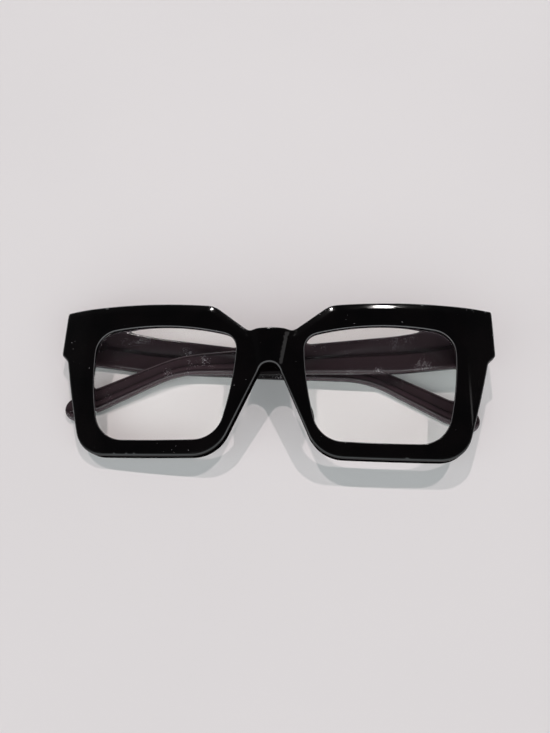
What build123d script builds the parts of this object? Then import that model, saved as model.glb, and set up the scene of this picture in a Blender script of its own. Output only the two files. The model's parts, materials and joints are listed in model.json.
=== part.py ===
from build123d import *
import os
from math import atan2, cos, radians, sin, sqrt, tan

# Square acetate eyeglasses, in millimetres.
# They lie on their back with the temples folded, as they are put down on a table: +Z up, the
# brow towards +Y, and the right temple (+X side) folded first, under the left one.
# Left is -X and right is +X, as someone who looks at the front sees them.

# Rest pose: the front leans on its lower rims and on the folded temples behind it
rest_tilt = 12.905
rest_roll = 4.488
# Where that puts the middle of the front, with the box round the glasses standing on the origin
rest_place = (-0.233, -2.925, 21.152)

# Lens openings, measured inside the rims
opening_width = 49.2
opening_height = 38.9
opening_gap = 22.2
# Corners and mid-sides of one opening: across from the nose side in widths, and up in half heights
nose_top_share = (0.002, 0.787)
top_middle_share = (0.526, 1.0)
outer_top_share = (0.998, 0.895)
outer_middle_share = (0.99, 0.103)
outer_bottom_share = (0.892, -0.985)
bottom_middle_share = (0.506, -1.0)
nose_bottom_share = (0.112, -0.975)
nose_middle_share = (0.026, -0.077)
nose_top_radius = 5.5
outer_top_radius = 7.5
outer_bottom_radius = 10.5
nose_bottom_radius = 9.5

# Front: one sheet of acetate, heat-bent round a gentle curve
front_thickness = 5.0
wrap_radius = 450.0
brow_rim = 8.9
brow_corner_drop = 1.4
bottom_rim = 5.2
bottom_corner_rise = 0.3
end_reach = 14.2
end_lower_edge = 11.3
end_side_taper = 0.4
notch_inset = 3.4
notch_height = 2.8
rim_side_bulge = 0.45
outer_corner_overlap = 0.7
nose_corner_reach = 16.0
brow_inner_reach = 19.6
brow_elbow_radius = 8.0
bevel_elbow_radius = 15.0
end_corner_radius = 0.9
notch_radius = 1.6
outer_corner_radius = 11.0
nose_corner_radius = 12.0

# Bridge and nose arch
bridge_half = 7.2
bridge_top = 17.5
bridge_rise = 0.9
bridge_corner_radius = 1.5
arch_top = 6.2
arch_radius = 3.8
panel_raise = 0.8
panel_top_half = 4.4
panel_bottom_half = 2.5
panel_facet = 1.9
panel_root = 1.0

# Bevels of the front
brow_bevel_width = 2.8
brow_bevel_angle = 17.0
bevel_spread = 4.0
end_bevel_inset = 10.5
end_bevel_angle = 8.0

# End-piece pads, flat at the back where the hinge and the temple meet them
pad_depth = 10.4
pad_inset = 13.8

# Lenses
lens_setback = 1.6
lens_thickness = 2.2
lens_bevel = 0.7
lens_bevel_depth = 1.0
groove_clearance = 0.03

# Nose pads, glued on behind the nose side of the rims
pad_length = 15.0
pad_width = 4.2
pad_tip_length = 9.0
pad_tip_width = 2.2
pad_height = 4.8
pad_splay = 1.6
pad_centre_x = 11.0
pad_centre_y = -6.4
pad_lean = 23.0
pad_crown = 0.8
pad_corner_share = 0.3

# Hinges: three knuckles on the front leaf and two on the temple leaf
hinge_x = 66.0
hinge_y = 18.2
hinge_standoff = 2.2
knuckle_radius = 1.6
knuckle_height = 1.25
knuckle_gap = 0.04
leaf_thickness = 0.8
front_leaf_length = 4.3
temple_leaf_length = 9.0
leaf_margin = 0.3
anchor_radius = 0.7
anchor_length = 1.4
anchor_end_margin = 1.3
anchor_pitch = 3.2
seat_clearance = 0.02
screw_radius = 0.7
screw_clearance = 0.03
screw_head_radius = 1.3
screw_head_height = 0.7
screw_slot_width = 0.35
screw_slot_depth = 0.35
screw_overhang = 0.4

# Temples, measured from the hinge axis: u along the temple, v up, w outwards
temple_thickness = 3.6
temple_bend_thickness = 3.05
temple_tip_thickness = 3.0
butt_gap = 0.1
butt_top = 25.2
butt_bottom = 10.2
top_waist = (24.0, 20.9)
top_bend = (98.5, 13.8)
bottom_bend = (99.3, 6.8)
bottom_waist = (22.0, 7.6)
tip_centre = (133.2, -7.4)
tip_radius = 4.1
tip_top_slope = 25.5
tip_bottom_slope = 28.5
waist_radius = 70.0
top_bend_radius = 45.0
bottom_bend_radius = 32.0
butt_corner_radius = 1.5
curl_u = 88.0
curl_angle = 6.2
curl_radius = 90.0
temple_edge_chamfer = 0.7
fold_gaps = {"left": 4.8, "right": 0.0}

# Flat metal cores inside the temples, from behind the hinge to the ear
core_height = 2.2
core_thickness = 1.0
core_start = (12.0, 15.4)
core_bend = (98.9, 10.3)
core_end = (122.0, -1.6)
core_bend_radius = 40.0
core_corner_radius = 0.4
core_clearance = 0.02

# One overrun for every cutting or trimming tool
overrun = 20.0

# Planes: the front's own plane, and one that looks down on it along the brow
tilt = radians(rest_tilt)
roll = radians(rest_roll)
front = Plane(
    origin=rest_place,
    x_dir=(cos(roll), 0, sin(roll)),
    z_dir=(-cos(tilt) * sin(roll), -sin(tilt), cos(tilt) * cos(roll)),
)
plan = Plane(origin=front.origin, x_dir=front.x_dir, z_dir=front.y_dir)

half_gap = opening_gap / 2
half_height = opening_height / 2
half_width = half_gap + opening_width + end_reach
sides = {"left": -1, "right": 1}
axis_depth = pad_depth + hinge_standoff


def opening_point(share, side):
    """A point of one lens opening, from its shares of the opening's width and half height."""
    return (side * (half_gap + share[0] * opening_width), share[1] * half_height)


def circle_through(first, middle, last):
    """The centre and radius of the circle through three points."""
    ends = Vector(*last) - Vector(*first)
    bulge = Vector(*middle) - Vector(*first)
    twice_area = 2 * (ends.X * bulge.Y - ends.Y * bulge.X)
    across = (bulge.Y * ends.dot(ends) - ends.Y * bulge.dot(bulge)) / twice_area
    up = (ends.X * bulge.dot(bulge) - bulge.X * ends.dot(ends)) / twice_area
    return Vector(*first) + Vector(across, up), Vector(across, up).length


def opening_sketch(side, grow):
    """The outline of one lens opening, grown all round: four bulging sides with round corners."""
    nose_top = opening_point(nose_top_share, side)
    outer_top = opening_point(outer_top_share, side)
    outer_bottom = opening_point(outer_bottom_share, side)
    nose_bottom = opening_point(nose_bottom_share, side)
    with BuildSketch(front) as outline:
        Rectangle(4 * half_width, 4 * half_width)
        for first, middle, last in (
            (nose_top, top_middle_share, outer_top),
            (outer_top, outer_middle_share, outer_bottom),
            (outer_bottom, bottom_middle_share, nose_bottom),
            (nose_bottom, nose_middle_share, nose_top),
        ):
            centre, radius = circle_through(first, opening_point(middle, side), last)
            with Locations(centre):
                Circle(radius + grow, mode=Mode.INTERSECT)
        for corner, radius in (
            (nose_top, nose_top_radius),
            (outer_top, outer_top_radius),
            (outer_bottom, outer_bottom_radius),
            (nose_bottom, nose_bottom_radius),
        ):
            fillet(outline.vertices().sort_by_distance(corner)[0], radius + grow)
    return outline


def wrapped_slab(from_depth, to_depth):
    """A sheet that follows the front's curve, between two depths behind its front surface."""
    with BuildPart() as slab:
        with BuildSketch(plan):
            with Locations((0, wrap_radius)):
                Circle(wrap_radius - from_depth)
                Circle(wrap_radius - to_depth, mode=Mode.SUBTRACT)
            Rectangle(
                2 * (half_width + overrun),
                wrap_radius / 2,
                align=(Align.CENTER, Align.CENTER),
                mode=Mode.INTERSECT,
            )
        extrude(amount=half_height + overrun, both=True)
    return slab


def lens_blank(side, clearance):
    """A lens with its bevelled edge; with a clearance, the tool that cuts its groove."""
    with BuildPart() as blank:
        add(wrapped_slab(lens_setback - clearance, lens_setback + lens_thickness + clearance))
        add(opening_sketch(side, lens_bevel + clearance).sketch)
        extrude(amount=overrun, dir=front.z_dir, both=True, mode=Mode.INTERSECT)
        order = sorted(blank.faces(), key=lambda f: f.area)
        for face in order[-2:]:
            chamfer(face.edges(), length=lens_bevel, length2=lens_bevel_depth, reference=face)
    return blank


def local(item):
    """The middle of an edge or face in the front's own coordinates."""
    return front.to_local_coords(item.center() if isinstance(item, Face) else item @ 0.5)


def wrap_depth(x):
    """How far the front surface lies behind the bridge at x."""
    return wrap_radius - sqrt(wrap_radius**2 - x**2)


# Outline of the front: right half from the bridge to the arch, then mirrored
bottom = -half_height - bottom_rim
outer_x = half_gap + opening_width
brow_inner = (brow_inner_reach, half_height + brow_rim - brow_corner_drop)
brow_middle = ((brow_inner_reach + half_width) / 2, half_height + brow_rim)
brow_outer = (half_width, half_height + brow_rim - brow_corner_drop)
end_low = (half_width - end_side_taper, end_lower_edge)
notch = (half_width - notch_inset, end_lower_edge - notch_height)
corner_outer = (outer_x + outer_corner_overlap, bottom + bottom_corner_rise)
side_middle = (
    (notch[0] + corner_outer[0]) / 2 + rim_side_bulge,
    (notch[1] + corner_outer[1]) / 2,
)
corner_nose = (nose_corner_reach, bottom + bottom_corner_rise)
bottom_middle = ((corner_outer[0] + corner_nose[0]) / 2, bottom)
arch_centre = (0, arch_top - arch_radius)
# The straight side of the nose gap touches the arch's circle
reach = sqrt((corner_nose[0] - arch_centre[0]) ** 2 + (corner_nose[1] - arch_centre[1]) ** 2)
slope = atan2(corner_nose[1] - arch_centre[1], corner_nose[0] - arch_centre[0])
touch = slope + atan2(sqrt(reach**2 - arch_radius**2), arch_radius)
arch_end = (arch_centre[0] + arch_radius * cos(touch), arch_centre[1] + arch_radius * sin(touch))

with BuildSketch(front) as front_outline:
    with BuildLine():
        ThreePointArc((-bridge_half, bridge_top), (0, bridge_top + bridge_rise), (bridge_half, bridge_top))
        Line((bridge_half, bridge_top), brow_inner)
        ThreePointArc(brow_inner, brow_middle, brow_outer)
        Polyline(brow_outer, end_low, notch)
        ThreePointArc(notch, side_middle, corner_outer)
        ThreePointArc(corner_outer, bottom_middle, corner_nose)
        Line(corner_nose, arch_end)
        ThreePointArc(arch_end, (0, arch_top), (-arch_end[0], arch_end[1]))
        mirror(about=Plane.YZ)
    make_face()
    for side in sides.values():
        for corner, radius in (
            ((bridge_half, bridge_top), bridge_corner_radius),
            (brow_inner, brow_elbow_radius),
            (brow_outer, end_corner_radius),
            (end_low, end_corner_radius),
            (notch, notch_radius),
            (corner_outer, outer_corner_radius),
            (corner_nose, nose_corner_radius),
        ):
            place = (side * corner[0], corner[1])
            fillet(front_outline.vertices().sort_by_distance(place)[0], radius)

# The front: wrapped sheet, end-piece pads, raised bridge panel, outline and lens openings
panel_lean = (panel_top_half - panel_bottom_half) / (bridge_top - arch_top)
panel_low = arch_top - 2 * arch_radius
panel_high = bridge_top + 2 * arch_radius


def panel_sketch(height, widening):
    """The bridge panel's outline at one height over the front."""
    low_half = panel_bottom_half + panel_lean * (panel_low - arch_top) + widening
    high_half = panel_bottom_half + panel_lean * (panel_high - arch_top) + widening
    with BuildSketch(front.offset(height)) as outline:
        with BuildLine():
            Polyline(
                (-low_half, panel_low),
                (low_half, panel_low),
                (high_half, panel_high),
                (-high_half, panel_high),
                close=True,
            )
        make_face()
    return outline


# The brow's outline spread outwards and closed below the rims, so that its bevel is one clean loop
foot = bottom - overrun
far_side = half_width + overrun
bevel_reach = brow_bevel_width + bevel_spread
with BuildSketch(front) as brow_outline:
    with BuildLine():
        ThreePointArc((-bridge_half, bridge_top), (0, bridge_top + bridge_rise), (bridge_half, bridge_top))
        Line((bridge_half, bridge_top), brow_inner)
        ThreePointArc(brow_inner, brow_middle, brow_outer)
        Polyline(brow_outer, (far_side, brow_outer[1]), (far_side, foot), (0, foot))
        mirror(about=Plane.YZ)
    make_face()
    for side in sides.values():
        place = (side * brow_inner[0], brow_inner[1])
        fillet(brow_outline.vertices().sort_by_distance(place)[0], bevel_elbow_radius)
    offset(amount=bevel_spread, kind=Kind.ARC)



def temple_axes(side):
    """The hinge's origin with the temple's own directions: along the temple and outwards."""
    fold = radians(fold_gaps[side_name(side)])
    origin = front.from_local_coords((side * hinge_x, 0, -axis_depth))
    along = front.x_dir * (-side * cos(fold)) - front.z_dir * sin(fold)
    outward = front.x_dir * (side * sin(fold)) - front.z_dir * cos(fold)
    return origin, along, outward


def side_name(side):
    """The name of a side from its sign."""
    return next(name for name, sign in sides.items() if sign == side)


def temple_face(side, out):
    """The plane of a temple's side view, at one distance outwards from the hinge axis."""
    origin, along, outward = temple_axes(side)
    return Plane(origin=origin + outward * out, x_dir=along, z_dir=outward * side)


def temple_plan(side, height):
    """The plane that looks at a temple along its hinge axis, at one height."""
    origin, along, outward = temple_axes(side)
    return Plane(origin=origin + front.y_dir * height, x_dir=along, z_dir=front.y_dir * -side)


def temple_band(side, start, from_share, to_share, grow):
    """The temple's thickness seen along the hinge axis, curling inwards at the ear."""
    corner = curl_u + curl_radius * tan(radians(curl_angle / 2))
    run = overrun + tip_centre[0] - corner
    dip = run * tan(radians(curl_angle))
    stations = (
        (start, temple_thickness, 0),
        (corner, temple_bend_thickness, 0),
        (corner + run, temple_tip_thickness, -dip),
    )
    low = [(u, hinge_standoff + shift + thick * from_share - grow) for u, thick, shift in stations]
    high = [(u, hinge_standoff + shift + thick * to_share + grow) for u, thick, shift in stations]
    with BuildPart() as band:
        with BuildSketch(temple_plan(side, 0)) as outline:
            with BuildLine():
                Polyline(*low, *reversed(high), close=True)
            make_face()
            for line in (low, high):
                fillet(outline.vertices().sort_by_distance(line[1])[0], curl_radius)
        extrude(amount=half_height + 2 * overrun, dir=front.y_dir, both=True)
    return band


def core_blank(side, grow):
    """A temple's flat core; grown, the channel that holds it."""
    start, bend, end = core_start, core_bend, core_end
    with BuildPart() as core:
        add(temple_band(side, -overrun, core_low_share, 1 - core_low_share, grow))
        with BuildSketch(temple_face(side, 0)) as outline:
            with BuildLine() as path:
                FilletPolyline(start, bend, end, radius=core_bend_radius)
            trace(path.line, line_width=core_height + 2 * grow)
        extrude(amount=overrun, dir=temple_axes(side)[2], both=True, mode=Mode.INTERSECT)
    return core


butt_u = butt_gap - hinge_standoff
core_low_share = (1 - core_thickness / temple_bend_thickness) / 2
stack_height = 5 * knuckle_height + 4 * knuckle_gap
stack_base = hinge_y - stack_height / 2
leaf_half = stack_height / 2 + leaf_margin


def slot_base(slot):
    """The lower end of one knuckle slot on the hinge axis."""
    return stack_base + slot * (knuckle_height + knuckle_gap)


def front_leaf_body(side, grow):
    """The sunk part of a front leaf: its plate and two pegs; grown, the recess for it."""
    inner = hinge_x - front_leaf_length
    outer = hinge_x + knuckle_radius
    floor = front.offset(leaf_thickness + grow - pad_depth)
    with BuildPart() as body:
        with BuildSketch(floor):
            with Locations((side * (inner + outer) / 2, hinge_y)):
                Rectangle(outer - inner + 2 * grow, 2 * (leaf_half + grow))
        extrude(amount=leaf_thickness + grow, dir=-front.z_dir)
        with BuildSketch(floor):
            for step in (-0.5, 0.5):
                with Locations((side * (inner + anchor_end_margin), hinge_y + step * anchor_pitch)):
                    Circle(anchor_radius + grow)
        extrude(amount=anchor_length, dir=front.z_dir)
    return body


def temple_leaf_body(side, grow):
    """The sunk part of a temple leaf: its plate and two pegs; grown, the recess for it."""
    length = temple_leaf_length + knuckle_radius
    floor = temple_face(side, hinge_standoff + leaf_thickness + grow)
    outward = temple_axes(side)[2]
    with BuildPart() as body:
        with BuildSketch(floor):
            with Locations((temple_leaf_length - length / 2, hinge_y)):
                Rectangle(length + 2 * grow, 2 * (leaf_half + grow))
        extrude(amount=leaf_thickness + grow, dir=-outward)
        with BuildSketch(floor):
            for step in (0, 1):
                with Locations((temple_leaf_length - anchor_end_margin - step * anchor_pitch, hinge_y)):
                    Circle(anchor_radius + grow)
        extrude(amount=anchor_length, dir=outward)
    return body


def along_temple(edge, side):
    """Whether an edge runs along a temple's inner or outer face, and not across it."""
    run = edge.tangent_at(0.5)
    return max(abs(run.dot(front.y_dir)), abs(run.dot(temple_axes(side)[2]))) < cos(radians(tip_bottom_slope / 2))


# The front: wrapped sheet, bevels, end-piece pads, raised bridge panel, outline and openings
with BuildPart() as front_frame:
    add(wrapped_slab(0, front_thickness))
    add(brow_outline.sketch)
    extrude(amount=overrun, dir=front.z_dir, both=True, mode=Mode.INTERSECT)
    face = sorted(front_frame.faces().filter_by(GeomType.CYLINDER), key=lambda f: local(f).Z)[-1]
    chamfer(
        face.edges(),
        length=bevel_reach,
        length2=bevel_reach * tan(radians(brow_bevel_angle)),
        reference=face,
    )
    # Flat pads behind the end-pieces
    with BuildSketch(plan.offset(end_lower_edge - notch_height)):
        for side in sides.values():
            with Locations((side * half_width, pad_depth)):
                Rectangle(2 * pad_inset, front_thickness / 2, align=(Align.CENTER, Align.MAX))
    extrude(amount=half_height + overrun)
    # One plane trims the pads, and a sloping one takes down each end-piece towards its side
    with BuildSketch(plan):
        with Locations((0, pad_depth)):
            Rectangle(2 * far_side, overrun, align=(Align.CENTER, Align.MIN))
        for side in sides.values():
            start = half_width - end_bevel_inset
            drop = wrap_depth(start) + (wrap_depth(half_width) - wrap_depth(start)) * overrun / end_bevel_inset
            with BuildLine():
                Polyline(
                    (side * start, wrap_depth(start)),
                    (side * (start + overrun), drop + overrun * tan(radians(end_bevel_angle))),
                    (side * (start + overrun), -overrun),
                    (side * start, -overrun),
                    close=True,
                )
            make_face()
    extrude(amount=half_height + overrun, both=True, mode=Mode.SUBTRACT)
    # Raised panel of the bridge
    add(panel_sketch(-panel_root, panel_facet * (1 + panel_root / panel_raise)).sketch)
    add(panel_sketch(panel_raise, 0).sketch)
    loft()
    add(front_outline.sketch)
    extrude(amount=overrun, dir=front.z_dir, both=True, mode=Mode.INTERSECT)
    for side in sides.values():
        add(opening_sketch(side, 0).sketch)
        extrude(amount=overrun, dir=front.z_dir, both=True, mode=Mode.SUBTRACT)
    # Grooves for the lenses and recesses for the front leaves
    for side in sides.values():
        add(lens_blank(side, groove_clearance), mode=Mode.SUBTRACT)
        add(front_leaf_body(side, seat_clearance), mode=Mode.SUBTRACT)

# Lenses, sprung into the grooves of the openings
lenses = {name: lens_blank(side, 0) for name, side in sides.items()}

# Nose pads, glued flush on the back of the rims
nose_pads = {}
for name, side in sides.items():
    sections = (
        (0, 0, pad_length, pad_width),
        (pad_height - pad_crown, pad_splay, pad_tip_length, pad_tip_width),
        (pad_height, pad_splay, pad_tip_length - pad_crown, pad_tip_width - pad_crown),
    )
    with BuildPart() as nose_pad:
        for rise, splay, length, width in sections:
            with BuildSketch(front.offset(-front_thickness - rise)) as outline:
                with Locations(Pos(side * (pad_centre_x + splay), pad_centre_y) * Rot(0, 0, side * pad_lean)):
                    Rectangle(width, length)
                chamfer(outline.vertices(), width * pad_corner_share)
        loft(ruled=True)
        add(wrapped_slab(-overrun, front_thickness), mode=Mode.SUBTRACT)
    nose_pads[name] = nose_pad

# Hinge leaves: a sunk plate with pegs, and its knuckles round the hinge axis
front_leaves = {}
temple_leaves = {}
for name, side in sides.items():
    with BuildPart() as front_leaf:
        add(front_leaf_body(side, 0))
        for slot in (0, 2, 4):
            with BuildSketch(plan.offset(slot_base(slot))):
                with Locations((side * hinge_x, axis_depth)):
                    Circle(knuckle_radius)
                    Rectangle(2 * knuckle_radius, hinge_standoff, align=(Align.CENTER, Align.MAX))
                    Circle(screw_radius + screw_clearance, mode=Mode.SUBTRACT)
            extrude(amount=knuckle_height, dir=front.y_dir)
    front_leaves[name] = front_leaf
    with BuildPart() as temple_leaf:
        add(temple_leaf_body(side, 0))
        for slot in (1, 3):
            with BuildSketch(temple_plan(side, slot_base(slot))):
                Circle(knuckle_radius)
                Rectangle(2 * knuckle_radius, hinge_standoff, align=(Align.CENTER, Align.MIN))
                Circle(screw_radius + screw_clearance, mode=Mode.SUBTRACT)
            extrude(amount=knuckle_height, dir=front.y_dir)
    temple_leaves[name] = temple_leaf

# Hinge screws, their slotted heads on top of the knuckles
screws = {}
head_base = stack_base + stack_height + knuckle_gap / 2
for name, side in sides.items():
    with BuildPart() as screw:
        with BuildSketch(plan.offset(stack_base - screw_overhang)):
            with Locations((side * hinge_x, axis_depth)):
                Circle(screw_radius)
        extrude(amount=screw_overhang + head_base - stack_base, dir=front.y_dir)
        with BuildSketch(plan.offset(head_base)):
            with Locations((side * hinge_x, axis_depth)):
                Circle(screw_head_radius)
        extrude(amount=screw_head_height, dir=front.y_dir)
        with BuildSketch(plan.offset(head_base + screw_head_height - screw_slot_depth)):
            with Locations((side * hinge_x, axis_depth)):
                Rectangle(2 * screw_head_radius, screw_slot_width)
        extrude(amount=overrun, dir=front.y_dir, mode=Mode.SUBTRACT)
    screws[name] = screw

# Temples: side outline cut from the curling band, edges bevelled, channel and recess cut
top_angle = radians(90 - tip_top_slope)
bottom_angle = radians(-90 - tip_bottom_slope)


def tip_point(angle):
    """A point on the round end of the temples' side outline."""
    return (tip_centre[0] + tip_radius * cos(angle), tip_centre[1] + tip_radius * sin(angle))


temples = {}
cores = {}
for name, side in sides.items():
    with BuildPart() as temple:
        add(temple_band(side, butt_u, 0, 1, 0))
        with BuildSketch(temple_face(side, 0)) as outline:
            with BuildLine():
                Polyline((butt_u, butt_bottom), (butt_u, butt_top), top_waist, top_bend, tip_point(top_angle))
                ThreePointArc(
                    tip_point(top_angle), tip_point((top_angle + bottom_angle) / 2), tip_point(bottom_angle)
                )
                Polyline(tip_point(bottom_angle), bottom_bend, bottom_waist, (butt_u, butt_bottom))
            make_face()
            for corner, radius in (
                (top_waist, waist_radius),
                (top_bend, top_bend_radius),
                (bottom_bend, bottom_bend_radius),
                (bottom_waist, waist_radius),
                ((butt_u, butt_top), butt_corner_radius),
                ((butt_u, butt_bottom), butt_corner_radius),
            ):
                fillet(outline.vertices().sort_by_distance(corner)[0], radius)
        extrude(amount=2 * overrun, dir=temple_axes(side)[2], both=True, mode=Mode.INTERSECT)
        around = [edge for edge in temple.edges() if along_temple(edge, side)]
        chamfer(around, temple_edge_chamfer)
        add(core_blank(side, core_clearance), mode=Mode.SUBTRACT)
        add(temple_leaf_body(side, seat_clearance), mode=Mode.SUBTRACT)
    temples[name] = temple
    cores[name] = core_blank(side, 0)

pieces = {"front_frame": front_frame}
for name in sides:
    pieces[f"lens_{name}"] = lenses[name]
    pieces[f"nose_pad_{name}"] = nose_pads[name]
    pieces[f"front_hinge_leaf_{name}"] = front_leaves[name]
    pieces[f"temple_hinge_leaf_{name}"] = temple_leaves[name]
    pieces[f"hinge_screw_{name}"] = screws[name]
    pieces[f"temple_{name}"] = temples[name]
    pieces[f"core_wire_{name}"] = cores[name]

os.makedirs("parts", exist_ok=True)
for name, piece in pieces.items():
    piece.part.label = name
    export_step(piece.part, f"parts/{name}.step")

box = Compound([piece.part for piece in pieces.values()]).bounding_box()
print("bottom middle of the box", box.center().X, box.center().Y, box.min.Z)
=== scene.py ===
"""Square acetate eyeglasses lying folded on a pale table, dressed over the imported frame."""

import json
import logging
import math
from dataclasses import dataclass, field
from enum import Enum
from typing import Callable, Sequence

import bmesh
import bpy
import numpy as np
from mathutils import Matrix, Vector
from mathutils.geometry import delaunay_2d_cdt

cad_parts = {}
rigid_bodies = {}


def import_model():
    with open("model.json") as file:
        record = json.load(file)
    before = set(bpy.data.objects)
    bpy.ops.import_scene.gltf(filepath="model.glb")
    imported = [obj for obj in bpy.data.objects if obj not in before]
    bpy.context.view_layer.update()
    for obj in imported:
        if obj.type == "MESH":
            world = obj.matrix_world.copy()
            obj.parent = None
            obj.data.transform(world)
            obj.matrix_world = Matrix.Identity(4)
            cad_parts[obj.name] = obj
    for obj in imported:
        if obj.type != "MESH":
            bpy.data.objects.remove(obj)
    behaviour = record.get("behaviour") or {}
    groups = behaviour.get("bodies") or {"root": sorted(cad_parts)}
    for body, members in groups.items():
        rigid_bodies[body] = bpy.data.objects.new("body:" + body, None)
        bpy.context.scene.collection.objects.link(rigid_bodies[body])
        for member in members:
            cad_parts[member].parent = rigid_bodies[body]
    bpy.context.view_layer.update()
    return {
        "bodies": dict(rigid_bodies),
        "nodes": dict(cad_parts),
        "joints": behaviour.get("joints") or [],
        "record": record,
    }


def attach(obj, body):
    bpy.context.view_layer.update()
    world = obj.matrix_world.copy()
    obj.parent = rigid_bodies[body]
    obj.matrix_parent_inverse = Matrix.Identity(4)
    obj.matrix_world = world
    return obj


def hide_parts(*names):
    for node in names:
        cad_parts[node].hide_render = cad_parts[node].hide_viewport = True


LOG = logging.getLogger("glasses")
MM = 0.001
TINY = 1e-9
Piece = bpy.types.Object
Material = bpy.types.Material
Tree = bpy.types.NodeTree
Node = bpy.types.Node
Socket = bpy.types.NodeSocket
Vert = bmesh.types.BMVert
Points = np.ndarray
Depth = Callable[[Points], Points]
Place = tuple[float, float, float]
Colour = Place
Span = tuple[float, float]
Stops = Sequence[Span]


class Side(Enum):
    """The two sides of the glasses, as someone who looks at the front sees them."""

    LEFT = -1
    RIGHT = 1

    @property
    def word(self) -> str:
        """The side's name as the nodes carry it."""
        return self.name.lower()


class Finish(Enum):
    """The finishes of the glasses, by the record's material slots."""

    ACETATE = "acetate"
    LENS = "lens"
    NOSE_PAD = "nose_pad"
    HINGE_METAL = "hinge_metal"
    CORE_METAL = "core_metal"


@dataclass(frozen=True)
class Axes:
    """Local axes of a piece. Local lengths are millimetres, the frame's are metres."""

    origin: Vector
    x: Vector
    y: Vector
    z: Vector

    def matrix(self) -> Points:
        """The axes as the columns of a 3 by 3 array."""
        return np.array([self.x, self.y, self.z], float).T

    def place(self, points: Points) -> Points:
        """Turns local points into the frame's."""
        return np.array(self.origin, float) + (points @ self.matrix().T) * MM

    def read(self, points: Points) -> Points:
        """Turns the frame's points into local ones."""
        return ((points - np.array(self.origin, float)) @ self.matrix()) / MM

    def read_piece(self, piece: Piece) -> Points:
        """Reads the points of a piece's mesh as local ones."""
        points = np.empty(len(piece.data.vertices) * 3)
        piece.data.vertices.foreach_get("co", points)
        return self.read(points.reshape(-1, 3))


@dataclass(frozen=True)
class RestPose:
    """How the folded glasses lie: the front's lean and roll, its middle, and the temples' folds."""

    lean: float = 12.905
    roll: float = 4.488
    place: Place = (-0.233, -2.925, 21.152)
    hinge_x: float = 66.0
    hinge_depth: float = 12.6
    left_fold: float = 4.8
    right_fold: float = 0.0

    def front(self) -> Axes:
        """The front's axes: x along the brow, y up to it, z out of the front."""
        lean = math.radians(self.lean)
        roll = math.radians(self.roll)
        x_axis = Vector((math.cos(roll), 0, math.sin(roll)))
        z_axis = Vector((-math.cos(lean) * math.sin(roll), -math.sin(lean), math.cos(lean) * math.cos(roll)))
        return Axes(Vector(self.place) * MM, x_axis, z_axis.cross(x_axis), z_axis)

    def temple(self, side: Side) -> Axes:
        """A temple's axes.

        Args:
            side: the temple's side.

        Returns:
            Axes at its hinge, with x along the temple, y up and z outwards.
        """
        front = self.front()
        fold = math.radians(self.left_fold if side is Side.LEFT else self.right_fold)
        along = -side.value * front.x * math.cos(fold) - front.z * math.sin(fold)
        outward = side.value * front.x * math.sin(fold) - front.z * math.cos(fold)
        origin = front.origin + (front.x * side.value * self.hinge_x - front.z * self.hinge_depth) * MM
        return Axes(origin, along, front.y, outward)


@dataclass
class SheetPlan:
    """A thick sheet over an outline with openings, its two depths and its rounded edges. Millimetres.

    The rows are points along creases, and the steps are rings over a rounded edge. The openings flare at
    the back, towards the brow and the ends: by how much, over what depth, how squarely and how soon.
    """

    outer: Points
    holes: list[Points]
    front: Depth
    back: Depth
    outer_round: float
    hole_round: float
    spacing: float
    rows: list[Points] = field(default_factory=list)
    steps: int = 5
    flare: float = 0.0
    flare_fade: float = 4.5
    flare_power: int = 3
    flare_gain: float = 1.3

    def flared(self, points: Points) -> Points:
        """Moves points of the back surface away from each opening as far as it widens there.

        Args:
            points: rows of x, y.

        Returns:
            The moved points.
        """
        moved = points.copy()
        for hole in self.holes if self.flare else []:
            middle = hole.mean(axis=0)
            near = distance_to_line(points, closed(hole))
            away = points - middle
            away[:, 0] /= np.ptp(hole[:, 0])
            away[:, 1] /= np.ptp(hole[:, 1])
            away = np.sign(away) * np.abs(away) ** self.flare_power
            away /= np.maximum(np.hypot(*away.T), TINY)[:, None]
            outward = away[:, 0] * np.sign(middle[0])
            share = np.clip(np.maximum(away[:, 1], outward) * self.flare_gain, 0, 1)
            moved += away * (self.flare * share * np.clip(1 - near / self.flare_fade, 0, 1))[:, None]
        return moved


def closed(loop: Points) -> Points:
    """A loop with its first point once more at its end."""
    return np.vstack([loop, loop[:1]])


def distance_to_line(points: Points, line: Points) -> Points:
    """Measures each point's distance to a polyline.

    Args:
        points: rows of x, y.
        line: the polyline's points in order.

    Returns:
        One distance for each point.
    """
    best = np.full(len(points), np.inf)
    for start, end in zip(line[:-1], line[1:]):
        run = end - start
        share = np.clip(((points - start) @ run) / max(run @ run, TINY), 0, 1)
        best = np.minimum(best, np.hypot(*(points - start - share[:, None] * run).T))
    return best


def distance_to_points(points: Points, others: Points) -> Points:
    """Measures each point's distance to the nearest of other points."""
    return np.array([np.hypot(*(others - point).T).min() for point in points])


def inside(points: Points, loops: list[Points]) -> Points:
    """Finds the points inside the first loop and outside the others, by the even-odd rule.

    Args:
        points: rows of x, y.
        loops: an outline and its openings.

    Returns:
        One truth value for each point.
    """
    hits = np.zeros(len(points), int)
    for loop in loops:
        for (ax, ay), (bx, by) in zip(loop, np.roll(loop, -1, axis=0)):
            if ay == by:
                continue
            at = ax + (points[:, 1] - ay) * (bx - ax) / (by - ay)
            hits += ((ay > points[:, 1]) != (by > points[:, 1])) & (points[:, 0] < at)
    return hits % 2 == 1


def turned(loop: Points, anticlockwise: bool) -> Points:
    """The loop, reversed where it ran the other way."""
    after = np.roll(loop, -1, axis=0)
    area = (loop[:, 0] * after[:, 1] - after[:, 0] * loop[:, 1]).sum()
    return loop if (area > 0) == anticlockwise else loop[::-1]


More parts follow.
